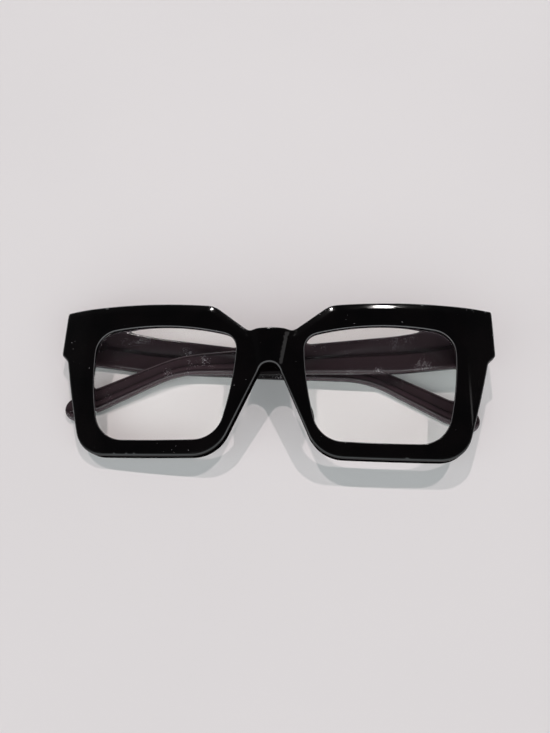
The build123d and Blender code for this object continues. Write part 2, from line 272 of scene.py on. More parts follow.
def resample(loop: Points, step: float, passes: int, fewest: int = 12) -> Points:
    """Spreads a closed loop's points evenly and smooths them lightly.

    Args:
        loop: rows of x, y.
        step: distance of the new points.
        passes: smoothing passes.
        fewest: least number of points.

    Returns:
        The new points.
    """
    line = closed(loop)
    along = np.concatenate([[0], np.cumsum(np.hypot(*np.diff(line, axis=0).T))])
    count = max(round(along[-1] / step), fewest)
    stations = np.arange(count) * along[-1] / count
    even = np.column_stack([np.interp(stations, along, line[:, axis]) for axis in (0, 1)])
    for _ in range(passes):
        even = (np.roll(even, 1, axis=0) + 2 * even + np.roll(even, -1, axis=0)) / 4
    return even


def section_loops(
    node: Piece, axes: Axes, unbend: Depth, level: float, weld: float = 0.0008, slack: float = 1e-6
) -> list[Points]:
    """Cuts a copy of a CAD node's mesh at one level of its unbent form.

    Args:
        node: the CAD node, which stays as it is.
        axes: the piece's local axes.
        unbend: height to add at each local point so that the sheet lies flat.
        level: local height of the cut, in millimetres.
        weld: distance under which the copy's points are one.
        slack: distance at which a point lies on the cut.

    Returns:
        The cut's closed loops, the longest first.
    """
    work = bmesh.new()
    work.from_mesh(node.data)
    work.transform(node.matrix_world)
    local = axes.read(np.array([vert.co for vert in work.verts]))
    local[:, 2] += unbend(local)
    for vert, place in zip(work.verts, local):
        vert.co = place
    bmesh.ops.remove_doubles(work, verts=work.verts, dist=weld)
    bmesh.ops.bisect_plane(
        work,
        geom=work.verts[:] + work.edges[:] + work.faces[:],
        dist=slack,
        plane_co=(0, 0, level),
        plane_no=(0, 0, 1),
        clear_inner=True,
        clear_outer=True,
    )
    work.edges.index_update()
    pending = {edge.index: edge for edge in work.edges}
    loops = []
    while pending:
        _, edge = pending.popitem()
        first, current = edge.verts
        loop = [first.co.xy]
        while current is not first:
            loop.append(current.co.xy)
            step = next((e for e in current.link_edges if e.index in pending), None)
            if step is None:
                break
            pending.pop(step.index)
            current = step.other_vert(current)
        loops.append(np.array(loop))
    work.free()
    loops.sort(key=lambda loop: -np.hypot(*np.ptp(loop, axis=0)))
    return [loop for loop in loops if len(loop) > 3]


def ring(loop: Points, inset: float) -> Points:
    """Moves a loop towards its left, which is into the material."""
    run = np.roll(loop, -1, axis=0) - np.roll(loop, 1, axis=0)
    run /= np.hypot(*run.T)[:, None]
    return loop + inset * np.column_stack([-run[:, 1], run[:, 0]])


def fill_points(plan: SheetPlan, rims: list[Points], row_gap: float = 0.6, rim_gap: float = 0.55) -> Points:
    """Lays points inside the innermost rings: a regular lattice and the plan's crease rows.

    Args:
        plan: the sheet.
        rims: its innermost rings.
        row_gap: clearance of the lattice from the rows, as a share of the spacing.
        rim_gap: clearance of all points from the rings, as a share of the spacing.

    Returns:
        Rows of x, y.
    """
    low = plan.outer.min(axis=0)
    high = plan.outer.max(axis=0)
    rise = plan.spacing * math.sqrt(3) / 2
    lattice = []
    for row, y in enumerate(np.arange(low[1], high[1], rise)):
        xs = np.arange(low[0] + (row % 2) * plan.spacing / 2, high[0], plan.spacing)
        lattice.append(np.column_stack([xs, np.full(len(xs), y)]))
    points = np.vstack(lattice)
    if plan.rows:
        rows = np.vstack(plan.rows)
        points = np.vstack([points[distance_to_points(points, rows) > plan.spacing * row_gap], rows])
    points = points[inside(points, rims)]
    return points[distance_to_points(points, np.vstack(rims)) > plan.spacing * rim_gap]


def cap_triangles(
    rims: list[Points], fill: Points, slack: float = 1e-7
) -> tuple[Points, Points, dict[int, int]]:
    """Joins the innermost rings and the points inside them with triangles.

    Args:
        rims: the rings, the outline's first.
        fill: the points inside.
        slack: distance under which two points are one.

    Returns:
        The points, the triangles' corners, and each ring point's place among the points.
    """
    ties = []
    base = 0
    for rim in rims:
        count = len(rim)
        ties += [(base + i, base + (i + 1) % count) for i in range(count)]
        base += count
    flat = [Vector(point) for point in np.vstack(rims + [fill])]
    found, _, faces, origins, _, _ = delaunay_2d_cdt(flat, ties, [], 0, slack)
    cap = np.array([tuple(point) for point in found])
    spot = {source: index for index, origin in enumerate(origins) for source in origin}
    triangles = np.array([tuple(face) for face in faces])
    return cap, triangles[inside(cap[triangles].mean(axis=1), rims)], spot


def sheet_solid(name: str, plan: SheetPlan, axes: Axes) -> Piece:
    """Builds a thick sheet with rounded edges from its outline and its two depths.

    Args:
        name: the new object's name.
        plan: the sheet's outline, depths and edge radii.
        axes: the piece's local axes.

    Returns:
        The new object, at the origin, with its place in its mesh.
    """
    loops = [turned(plan.outer, True)] + [turned(hole, False) for hole in plan.holes]
    radii = [plan.outer_round] + [plan.hole_round] * len(plan.holes)
    turns = [math.pi / 2 * step / plan.steps for step in range(plan.steps)]
    rims = [ring(loop, radius) for loop, radius in zip(loops, radii)]
    cap, triangles, spot = cap_triangles(rims, fill_points(plan, rims))
    work = bmesh.new()

    def add(points: Points, depths: Points, sign: float) -> list[Vert]:
        """Adds points of the front (1) or back (-1) surface at their depths."""
        flat = points if sign > 0 else plan.flared(points)
        return [work.verts.new(place) for place in axes.place(np.column_stack([flat, -depths]))]

    walls = []
    for depth_of, sign in ((plan.front, 1.0), (plan.back, -1.0)):
        top = add(cap, depth_of(cap), sign)
        for corners in triangles:
            work.faces.new([top[corner] for corner in corners])
        base = 0
        wall = []
        for loop, radius in zip(loops, radii):
            rings = []
            for turn in turns:
                points = ring(loop, radius * (1 - math.cos(turn)))
                rings.append(add(points, depth_of(points) + sign * radius * (1 - math.sin(turn)), sign))
            rings.append([top[spot[base + i]] for i in range(len(loop))])
            base += len(loop)
            for outer, inner in zip(rings[:-1], rings[1:]):
                band(work, outer, inner)
            wall.append(rings[0])
        walls.append(wall)
    for near, far in zip(*walls):
        band(work, far, near)
    bmesh.ops.delete(work, geom=[v for v in work.verts if not v.link_faces], context="VERTS")
    bmesh.ops.recalc_face_normals(work, faces=work.faces)
    return mesh_object(name, work)


def band(work: bmesh.types.BMesh, low: list[Vert], high: list[Vert]) -> None:
    """Joins two rings of as many points with quads."""
    for i in range(len(low)):
        j = (i + 1) % len(low)
        work.faces.new((low[i], low[j], high[j], high[i]))


def scene_object(data: bpy.types.ID) -> bpy.types.Object:
    """Adds an object with a mesh, lamp or camera of its own name."""
    made = bpy.data.objects.new(data.name, data)
    bpy.context.scene.collection.objects.link(made)
    return made


def mesh_object(name: str, work: bmesh.types.BMesh) -> Piece:
    """Makes a smooth-shaded object from a bmesh and frees it.

    Args:
        name: the object's name.
        work: the mesh.

    Returns:
        The new object.
    """
    mesh = bpy.data.meshes.new(name)
    work.to_mesh(mesh)
    work.free()
    mesh.polygons.foreach_set("use_smooth", [True] * len(mesh.polygons))
    return scene_object(mesh)


def mark(piece: Piece, name: str, values: Points) -> None:
    """Keeps one number for each point of a piece, for its material to read."""
    layer = piece.data.attributes.new(name, "FLOAT", "POINT")
    layer.data.foreach_set("value", np.asarray(values, np.float32))


class NodeTree:
    """Short calls for filling one node tree."""

    def __init__(self, tree: Tree) -> None:
        """Keeps the tree."""
        self.tree = tree

    def first(self, kind: str) -> Node:
        """The tree's first node of a kind."""
        return next(node for node in self.tree.nodes if node.type == kind)

    def put(self, target: Socket, value: object) -> None:
        """Links an input to a socket, or sets it to a constant; a colour has three channels."""
        if isinstance(value, Socket):
            self.tree.links.new(value, target)
        else:
            target.default_value = (*value, 1) if target.type == "RGBA" else value

    def feed(self, node: Node, **inputs: object) -> Node:
        """Fills a node's inputs.

        Args:
            node: the node.
            **inputs: sockets or constants, by input name in small letters with underscores for spaces.

        Returns:
            The node.
        """
        for key, value in inputs.items():
            name = key.replace("_", " ")
            self.put(next(s for s in node.inputs if s.name.lower() == name and s.enabled), value)
        return node

    def node(self, kind: str, settings: dict[str, object] | None = None, **inputs: object) -> Node:
        """Adds a node.

        Args:
            kind: its type name.
            settings: its properties.
            **inputs: its inputs, as for feed.

        Returns:
            The new node.
        """
        made = self.tree.nodes.new(kind)
        for key, value in (settings or {}).items():
            setattr(made, key, value)
        return self.feed(made, **inputs)

    def attribute(self, name: str) -> Socket:
        """One of the numbers that a piece's points carry."""
        return self.node("ShaderNodeAttribute", {"attribute_name": name}).outputs["Fac"]

    def blend(self, share: Socket, first: object, second: object) -> Socket:
        """Two colours or their sockets, mixed by the second one's share."""
        made = self.node("ShaderNodeMix", {"data_type": "RGBA"})
        for index, value in ((0, share), (6, first), (7, second)):
            self.put(made.inputs[index], value)
        return made.outputs[2]

    def maths(self, operation: str, *values: object) -> Socket:
        """The result of a Math node on numbers or sockets."""
        made = self.node("ShaderNodeMath", {"operation": operation})
        for socket, value in zip(made.inputs, values):
            self.put(socket, value)
        return made.outputs[0]

    def ramp(self, value: Socket, stops: Stops, tint: Colour) -> Socket:
        """Adds a colour ramp of one tint at several levels.

        Args:
            value: what the ramp reads.
            stops: places along the ramp with their levels.
            tint: the colour at level one.

        Returns:
            The ramp's colour.
        """
        made = self.node("ShaderNodeValToRGB")
        elements = made.color_ramp.elements
        elements.remove(elements[-1])
        for index, (at, level) in enumerate(stops):
            element = elements[0] if index == 0 else elements.new(at)
            element.position = at
            element.color = (*(level * channel for channel in tint), 1)
        self.put(made.inputs[0], value)
        return made.outputs[0]

    def spread(self, value: Socket, span: Span, to: Span = (0, 1)) -> Socket:
        """Spreads a value from one span to another."""
        ends = {"from_min": span[0], "from_max": span[1], "to_min": to[0], "to_max": to[1]}
        return self.node("ShaderNodeMapRange", value=value, **ends).outputs["Result"]


def wear_group() -> Tree:
    """Makes the group that the finishes share: smudges, dust, and a normal with hairline scratches.

    Returns:
        The group.
    """
    group = bpy.data.node_groups.new("handling wear", "ShaderNodeTree")
    for label in ("Smudge Scale", "Dust Scale", "Dust Share", "Scratch Depth"):
        group.interface.new_socket(label, in_out="INPUT", socket_type="NodeSocketFloat")
    for label, kind in (("Smudge", "Float"), ("Dust", "Float"), ("Normal", "Vector")):
        group.interface.new_socket(label, in_out="OUTPUT", socket_type=f"NodeSocket{kind}")
    net = NodeTree(group)
    given = net.node("NodeGroupInput").outputs
    at = net.node("ShaderNodeTexCoord").outputs["Object"]
    smudge = net.node("ShaderNodeTexNoise", vector=at, detail=4.0, roughness=0.6, distortion=0.4)
    net.feed(smudge, scale=given["Smudge Scale"])
    cells = net.node("ShaderNodeTexVoronoi", {"feature": "F1"}, vector=at, scale=given["Dust Scale"])
    # drift gathers the specks into patches, which on the temples stand in for painted glints and smears
    drift = net.node("ShaderNodeTexNoise", vector=at, scale=130.0, detail=2.0)
    limit = net.maths("MULTIPLY", given["Dust Share"], net.spread(drift.outputs["Fac"], (0.5, 0.7), (0, 3)))
    stretch = net.node("ShaderNodeMapping", vector=at, scale=(260.0, 1500.0, 900.0), rotation=(0.3, 0.5, 0.7))
    lines = net.node("ShaderNodeTexNoise", vector=stretch.outputs["Vector"], scale=1.0, detail=2.0)
    hairlines = net.spread(lines.outputs["Fac"], (0.62, 0.66), (1, 0))
    bump = net.node("ShaderNodeBump", distance=0.00002, strength=given["Scratch Depth"], height=hairlines)
    net.node(
        "NodeGroupOutput",
        smudge=smudge.outputs["Fac"],
        dust=net.maths("LESS_THAN", cells.outputs["Distance"], limit),
        normal=bump.outputs["Normal"],
    )
    return group


def new_material(name: str) -> tuple[Material, NodeTree, Node]:
    """Starts a material.

    Args:
        name: its name.

    Returns:
        The material, its nodes and its Principled shader.
    """
    material = bpy.data.materials.new(name)
    material.use_nodes = True
    net = NodeTree(material.node_tree)
    return material, net, net.first("BSDF_PRINCIPLED")


@dataclass(frozen=True, kw_only=True)
class Coat:
    """A finish of the glasses: how finely it is smudged, dusty and scratched."""

    name: str
    smudge_scale: float = 70.0
    dust_scale: float = 620.0
    dust_share: float = 0.05
    scratch_depth: float = 0.05

    def start(self) -> tuple[Material, NodeTree, Node, Node]:
        """Starts the material with its wear.

        Returns:
            The material, its nodes, its Principled shader and its wear group.
        """
        material, net, shader = new_material(self.name)
        wear = net.node(
            "ShaderNodeGroup",
            {"node_tree": bpy.data.node_groups.get("handling wear") or wear_group()},
            smudge_scale=self.smudge_scale,
            dust_scale=self.dust_scale,
            dust_share=self.dust_share,
            scratch_depth=self.scratch_depth,
        )
        net.feed(shader, normal=wear.outputs["Normal"])
        return material, net, shader, wear


@dataclass(frozen=True, kw_only=True)
class Acetate(Coat):
    """Polished acetate, near black with a warmer cast in patches: painted highlights on its rims, painted
    shade on its walls, and specks of dust and painted glints.
    """

    dark: Colour = (0.0011, 0.0009, 0.0011)
    warm: Colour = (0.0024, 0.0017, 0.0019)
    worn: Colour = (0.20, 0.192, 0.198)
    shaded: Colour = (0.0016, 0.0013, 0.0014)
    dusty: Colour = (0.30, 0.28, 0.29)
    polish: Span = (0.06, 0.13)
    dust_roughness: float = 0.5
    sheen: float = 0.5
    ior: float = 1.49

    def body(self, net: NodeTree, wear: Node) -> Socket:
        """The colour under the wear, from the wear group's smudges."""
        return net.blend(net.spread(wear.outputs["Smudge"], (0.35, 0.7)), self.dark, self.warm)

    def make(self) -> Material:
        """Makes the material, which reads the marks "rim" (painted highlight) and "wall" (painted shade) of
        its piece.

        Returns:
            The material.
        """
        material, net, shader, wear = self.start()
        # the mark "wall" is painted shade: a near-black colour and no sheen on the front's walls below the
        # brow and on the temples under the bridge
        wall = net.attribute("wall")
        colour = net.blend(wall, self.body(net, wear), self.shaded)
        # painted highlight: a light grey line along the lips of the openings and the arch
        colour = net.blend(net.attribute("rim"), colour, self.worn)
        smudges = net.spread(wear.outputs["Smudge"], (0.3, 0.75), self.polish)
        dust = net.maths("MULTIPLY", wear.outputs["Dust"], self.dust_roughness)
        net.feed(
            shader,
            # pale specks: dust on the front, and on the temples painted glints and smears as well as dust
            base_color=net.blend(wear.outputs["Dust"], colour, self.dusty),
            roughness=net.maths("MAXIMUM", smudges, dust),
            specular_ior_level=net.spread(wall, (0, 1), (self.sheen, 0)),
            ior=self.ior,
        )
        return material


@dataclass(frozen=True, kw_only=True)
class ArmAcetate(Acetate):
    """The temples' acetate, purplish brown with a darker core, with painted highlights along its edges and
    painted light on its upper half.
    """

    tint: Colour = (1.35, 0.88, 1.02)
    # across the temple: its own tone and darker core, with painted highlights at the edges and painted light
    # on the upper half, which the brow shades
    hinge_bands: Stops = (
        (0.0, 0.032), (0.05, 0.024), (0.10, 0.017), (0.42, 0.019), (0.47, 0.009),
        (0.53, 0.010), (0.60, 0.026), (0.93, 0.030), (0.98, 0.045),
    )
    tip_bands: Stops = (
        (0.0, 0.045), (0.09, 0.030), (0.16, 0.011), (0.24, 0.032), (0.34, 0.024),
        (0.42, 0.010), (0.55, 0.021), (0.80, 0.024), (0.87, 0.009), (0.95, 0.055),
    )
    turnover: Span = (0.36, 0.56)

    def body(self, net: NodeTree, wear: Node) -> Socket:
        """The bands under the wear, with their painted highlights and painted light, which change over from
        hinge to tip.
        """
        across = net.attribute("across")
        bands = [net.ramp(across, stops, self.tint) for stops in (self.hinge_bands, self.tip_bands)]
        return net.blend(net.spread(net.attribute("along"), self.turnover), *bands)


@dataclass(frozen=True, kw_only=True)
class LensCoat(Coat):
    """Clear lens with a faint purplish coating; its shadow stays light."""

    clear: Colour = (1.0, 0.998, 0.996)
    coating: Colour = (1.0, 0.80, 0.92)
    passed: Colour = (0.995, 0.99, 0.992)
    haze: float = 0.03
    ior: float = 1.32

    def make(self) -> Material:
        """Makes the material.

        Returns:
            The material, which lets light through to what it shades.
        """
        material, net, shader, wear = self.start()
        net.feed(
            shader,
            base_color=self.clear,
            specular_tint=self.coating,
            transmission_weight=1.0,
            ior=self.ior,
            roughness=net.spread(wear.outputs["Smudge"], (0.45, 0.8), (0, self.haze)),
        )
        path = net.node("ShaderNodeLightPath").outputs
        passing = net.maths("MAXIMUM", path["Is Shadow Ray"], path["Is Diffuse Ray"])
        through = net.node("ShaderNodeBsdfTransparent", color=self.passed)
        mix = net.node("ShaderNodeMixShader")
        for target, source in zip(mix.inputs, (passing, shader.outputs[0], through.outputs[0])):
            net.put(target, source)
        net.feed(net.first("OUTPUT_MATERIAL"), surface=mix.outputs[0])
        return material


@dataclass(frozen=True, kw_only=True)
class Metal(Coat):
    """Satin metal whose roughness and tint vary with handling."""

    smudge_scale: float = 400.0
    scratch_depth: float = 0.02
    colour: Colour
    roughness: Span
    dulling: float = 0.72

    def make(self) -> Material:
        """Makes the material.

        Returns:
            The material.
        """
        material, net, shader, wear = self.start()
        smudge = wear.outputs["Smudge"]
        dull = tuple(channel * self.dulling for channel in self.colour)
        tint = net.blend(net.spread(smudge, (0.4, 0.8)), self.colour, dull)
        rough = net.spread(smudge, (0.3, 0.7), self.roughness)
        net.feed(shader, base_color=tint, metallic=1.0, roughness=rough)
        return material


@dataclass(frozen=True)
class TableTop:
    """Pale satin tabletop with a barely uneven sheen, painted lighter where it is seen through the lenses,
    which lifts the shade under the glasses.
    """

    cool: Colour = (0.735, 0.712, 0.714)
    warm: Colour = (0.762, 0.738, 0.738)
    through_lens: Colour = (0.905, 0.895, 0.880)
    roughness: Span = (0.42, 0.52)
    sheen: float = 0.12

    def make(self) -> Material:
        """Makes the material.

        Returns:
            The material.
        """
        material, net, shader = new_material("pale table")
        at = net.node("ShaderNodeTexCoord").outputs["Object"]
        cloud = net.node("ShaderNodeTexNoise", vector=at, scale=9.0, detail=3.0).outputs["Fac"]
        # painted light: the floor seen through the lenses takes a lighter colour
        through = net.node("ShaderNodeLightPath").outputs["Is Transmission Ray"]
        net.feed(
            shader,
            base_color=net.blend(through, net.blend(cloud, self.cool, self.warm), self.through_lens),
            roughness=net.spread(cloud, (0.3, 0.7), self.roughness),
            specular_ior_level=self.sheen,
        )
        return material


class Looks:
    """The materials of the glasses, made once and shared."""

    def __init__(self) -> None:
        """Makes the materials."""
        # the temples' denser, finer specks are painted glints and smears as well as dust
        self.arm = ArmAcetate(name="arm acetate", dust_scale=2300.0, dust_share=0.12).make()
        pad_dark = (0.0016, 0.0013, 0.0015)
        pad_warm = (0.0034, 0.0024, 0.0027)
        nickel = (0.56, 0.545, 0.52)
        wire = (0.58, 0.56, 0.52)
        coats = {
            Finish.ACETATE: Acetate(name="black acetate", dust_share=0.03),
            Finish.NOSE_PAD: Acetate(name="pad acetate", dust_share=0.03, dark=pad_dark, warm=pad_warm),
            Finish.LENS: LensCoat(name="coated lens", smudge_scale=45.0, scratch_depth=0.02),
            Finish.HINGE_METAL: Metal(name="satin nickel", colour=nickel, roughness=(0.20, 0.34)),
            Finish.CORE_METAL: Metal(name="drawn wire", colour=wire, roughness=(0.32, 0.50)),
        }
        self.by_finish = {finish: coat.make() for finish, coat in coats.items()}


class Bench:
    """What the sub-assemblies are built with: the CAD nodes, their bodies, the pose and the materials."""

    def __init__(self, frame: dict, looks: Looks) -> None:
        """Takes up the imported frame.

        Args:
            looks: the materials.
        """
        bodies = frame["record"]["behaviour"]["bodies"]
        self.nodes = frame["nodes"]
        self.bodies = {node: body for body, names in bodies.items() for node in names}
        self.looks = looks
        self.pose = RestPose()
        self.front = self.pose.front()
        self.pieces: list[Piece] = []

    def outlines(
        self, node: str, axes: Axes, unbend: Depth, level: float, step: float, passes: int = 2
    ) -> list[Points]:
        """Cuts a CAD node as section_loops does, and spreads the cut's points evenly."""
        loops = section_loops(self.nodes[node], axes, unbend, level)
        return [resample(loop, step, passes) for loop in loops]

    def dress(self, piece: Piece, node: str, finish: Finish, material: Material | None = None) -> None:
        """Lets a piece replace a CAD node, ride with its body and take its finish.

        Args:
            piece: the new piece.
            node: the CAD node.
            finish: the piece's finish.
            material: another material than the finish's own.
        """
        piece.data.materials.clear()
        piece.data.materials.append(material or self.looks.by_finish[finish])
        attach(piece, self.bodies[node])
        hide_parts(node)
        self.pieces.append(piece)

    def keep(self, node: str, finish: Finish) -> None:
        """Leaves a CAD node as it is, in better metal."""
        self.nodes[node].material_slots[0].material = self.looks.by_finish[finish]
        self.pieces.append(self.nodes[node])


def flat_at(depth: float) -> Depth:
    """The depth of a flat level."""
    return lambda points: np.full(len(points), depth)


@dataclass(frozen=True)
class Front:
    """The front and its sizes, in millimetres and degrees. Depths lie behind its foremost point."""

    bench: Bench
    wrap_radius: float = 450.0
    thickness: float = 5.0
    bevel_width: float = 2.8
    bevel_angle: float = 17.0
    bevel_slack: float = 0.15
    bevel_end: float = 70.0
    side_start: float = 64.0
    side_angle: float = 8.0
    brow_height: float = 14.0
    brow_end: float = 73.8
    brow_reach: float = 80.0
    panel_raise: float = 0.8
    panel_facet: float = 1.9
    panel_half: float = 2.5
    panel_spread: float = 0.168
    panel_foot: float = 6.2
    panel_top: float = 18.0
    panel_crease: float = 0.12
    panel_row: float = 0.2
    pad_depth: float = 10.33
    pad_start: float = 60.7
    pad_end: float = 74.0
    pad_foot: float = 8.5
    pad_top: float = 28.0
    pad_ramp: float = 0.4
    crease: float = 0.35
    cut: float = -4.3
    point_step: float = 0.45
    row_step: float = 0.5
    spacing: float = 0.62
    outer_round: float = 0.6
    hole_round: float = 0.42
    flare: float = 1.4
    worn_share: float = 0.45
    arch_half: float = 14.0
    arch_top: float = 8.0
    arch_lip: float = 0.2
    arch_reach: float = 0.22
    arch_glow: float = 0.4
    wall_start: float = 0.25
    wall_fade: float = 0.3
    wall_width: float = 0.62

    def wrap(self, points: Points, depth: float = 0.0) -> Points:
        """How far a level of the wrapped sheet lies behind its own middle."""
        radius = self.wrap_radius - depth
        return radius - np.sqrt(radius**2 - points[:, 0] ** 2)

    def level(self, depth: float) -> Depth:
        """The wrapped sheet's level that lies at a depth in the middle."""
        return lambda points: depth + self.wrap(points, depth)

    def ramp(self, reach: Points, crease: float | None = None) -> Points:
        """A rise from zero with a softly rounded start."""
        return (reach + np.sqrt(reach**2 + (crease or self.crease) ** 2)) / 2

    def panel_edge(self, heights: Points) -> Points:
        """Half the flat panel's width at each height."""
        return self.panel_half + self.panel_spread * (heights - self.panel_foot)

    def front_depth(self, brow: Points) -> Depth:
        """Makes the depth of the front surface: wrap, brow bevel, sloping ends and raised panel.

        Args:
            brow: points along the brow edge.

        Returns:
            The depth over points of the outline.
        """
        bevel_slope = math.tan(math.radians(self.bevel_angle))
        side_slope = math.tan(math.radians(self.side_angle))

        def depth(points: Points) -> Points:
            """The depth at each point."""
            off_middle = np.abs(points[:, 0])
            bevel = bevel_slope * self.ramp(self.bevel_width - distance_to_line(points, brow))
            side = side_slope * self.ramp(off_middle - self.side_start)
            surface = self.wrap(points) + np.hypot(bevel, side)
            fall = self.ramp(off_middle - self.panel_edge(points[:, 1]), self.panel_crease)
            return np.minimum(surface, fall * self.panel_raise / self.panel_facet - self.panel_raise)

        return depth

    def back_depth(self, points: Points) -> Points:
        """The depth of the back surface with the pads behind the end-pieces."""
        sheet = self.level(self.thickness)(points)
        reach = np.minimum(np.abs(points[:, 0]) - self.pad_start, points[:, 1] - self.pad_foot)
        return sheet + (self.pad_depth - sheet) * np.clip(reach / self.pad_ramp + 0.5, 0, 1)

    def brow_lines(self, outer: Points) -> tuple[Points, Points]:
        """Finds the brow edge and the crease of its bevel.

        Args:
            outer: the outline.

        Returns:
            The edge, carried on past both ends, and points along the crease.
        """
        on_brow = (outer[:, 1] > self.brow_height) & (np.abs(outer[:, 0]) < self.brow_end)
        edge = outer[on_brow]
        edge = edge[np.argsort(edge[:, 0])]
        edge = np.vstack([[(-self.brow_reach, edge[0, 1])], edge, [(self.brow_reach, edge[-1, 1])]])
        crease = ring(outer, self.bevel_width)[on_brow]
        clear = distance_to_line(crease, edge) > self.bevel_width - self.bevel_slack
        return edge, crease[clear & (np.abs(crease[:, 0]) < self.bevel_end)]

    def crease_rows(self) -> list[Points]:
        """Lays points along the panel's facets and round the pads behind the end-pieces.

        Returns:
            The rows of points.
        """
        heights = np.arange(self.panel_foot - self.row_step, self.panel_top, self.row_step)
        half = self.panel_edge(heights)
        foot = half + self.panel_facet
        ramp = self.pad_ramp / 2
        ys = np.arange(self.pad_foot + ramp, self.pad_top, self.row_step)
        xs = np.arange(self.pad_start + self.pad_ramp, self.pad_end, self.row_step)
        rows = []
        for side in Side:
            for edge in (half - self.panel_crease, half + self.panel_row, foot - self.panel_row, foot):
                rows.append(np.column_stack([side.value * edge, heights]))
            for x in (self.pad_start - ramp, self.pad_start + ramp):
                rows.append(np.column_stack([np.full(len(ys), side.value * x), ys]))
            for y in (self.pad_foot - ramp, self.pad_foot + ramp):
                rows.append(np.column_stack([side.value * xs, np.full(len(xs), y)]))
        return rows

    def mark_wear(self, piece: Piece, plan: SheetPlan) -> None:
        """Marks painted highlights along the lips of the openings and the arch, and painted shade on the
        walls below the brow.

        Args:
            piece: the front.
            plan: what it was built from.
        """
        local = self.bench.front.read_piece(piece)
        flat = local[:, :2]
        sunk = -local[:, 2] - plan.front(flat)

        def glow(near: Points, lip: float, reach: float) -> Points:
            """One on a lip, fading with the distance from it."""
            return np.clip(1 - np.hypot(near - lip, sunk - lip) / reach, 0, 1)

        near = np.min([distance_to_line(flat, closed(hole)) for hole in plan.holes], axis=0)
        lip = self.hole_round * self.worn_share
        arch = plan.outer[(np.abs(plan.outer[:, 0]) < self.arch_half) & (plan.outer[:, 1] < self.arch_top)]
        nose = distance_to_line(flat, arch[np.argsort(arch[:, 0])])
        arch_glow = self.arch_glow * glow(nose, self.arch_lip, self.arch_reach)
        # painted highlight along the lips of the openings and the arch
        mark(piece, "rim", np.maximum(glow(near, lip, lip), arch_glow))
        # painted shade: the walls below the brow get a near-black colour and no sheen
        around = distance_to_line(flat, closed(plan.outer))
        below = (around < self.wall_width) * (local[:, 1] < self.brow_height)
        mark(piece, "wall", np.clip((sunk - self.wall_start) / self.wall_fade, 0, 1) * below)

    def build(self) -> None:
        """Builds and dresses the front."""
        axes = self.bench.front
        outlines = self.bench.outlines("front_frame", axes, self.wrap, self.cut, self.point_step)
        outer = turned(outlines[0], True)
        holes = outlines[1:3]
        brow, crease = self.brow_lines(outer)
        plan = SheetPlan(
            outer,
            holes,
            self.front_depth(brow),
            self.back_depth,
            self.outer_round,
            self.hole_round,
            self.spacing,
            rows=[crease] + self.crease_rows(),
            flare=self.flare,
        )
        piece = sheet_solid("front", plan, axes)
        self.mark_wear(piece, plan)
        self.bench.dress(piece, "front_frame", Finish.ACETATE)


@dataclass(frozen=True)
class Lens:
    """One clear lens, a thin closed sheet with the front's curve. Millimetres."""

    front: Front
    side: Side
    cut: float = -2.7
    near: float = 1.6
    far: float = 3.8
    point_step: float = 0.6
    edge: float = 0.5
    spacing: float = 1.3

    def build(self) -> None:
        """Builds and dresses the lens."""
        bench = self.front.bench
        node = f"lens_{self.side.word}"
        outline = bench.outlines(node, bench.front, self.front.wrap, self.cut, self.point_step)[0]
        near, far = self.front.level(self.near), self.front.level(self.far)
        plan = SheetPlan(outline, [], near, far, self.edge, self.edge, self.spacing, steps=4)
        bench.dress(sheet_solid(f"clear_{node}", plan, bench.front), node, Finish.LENS)


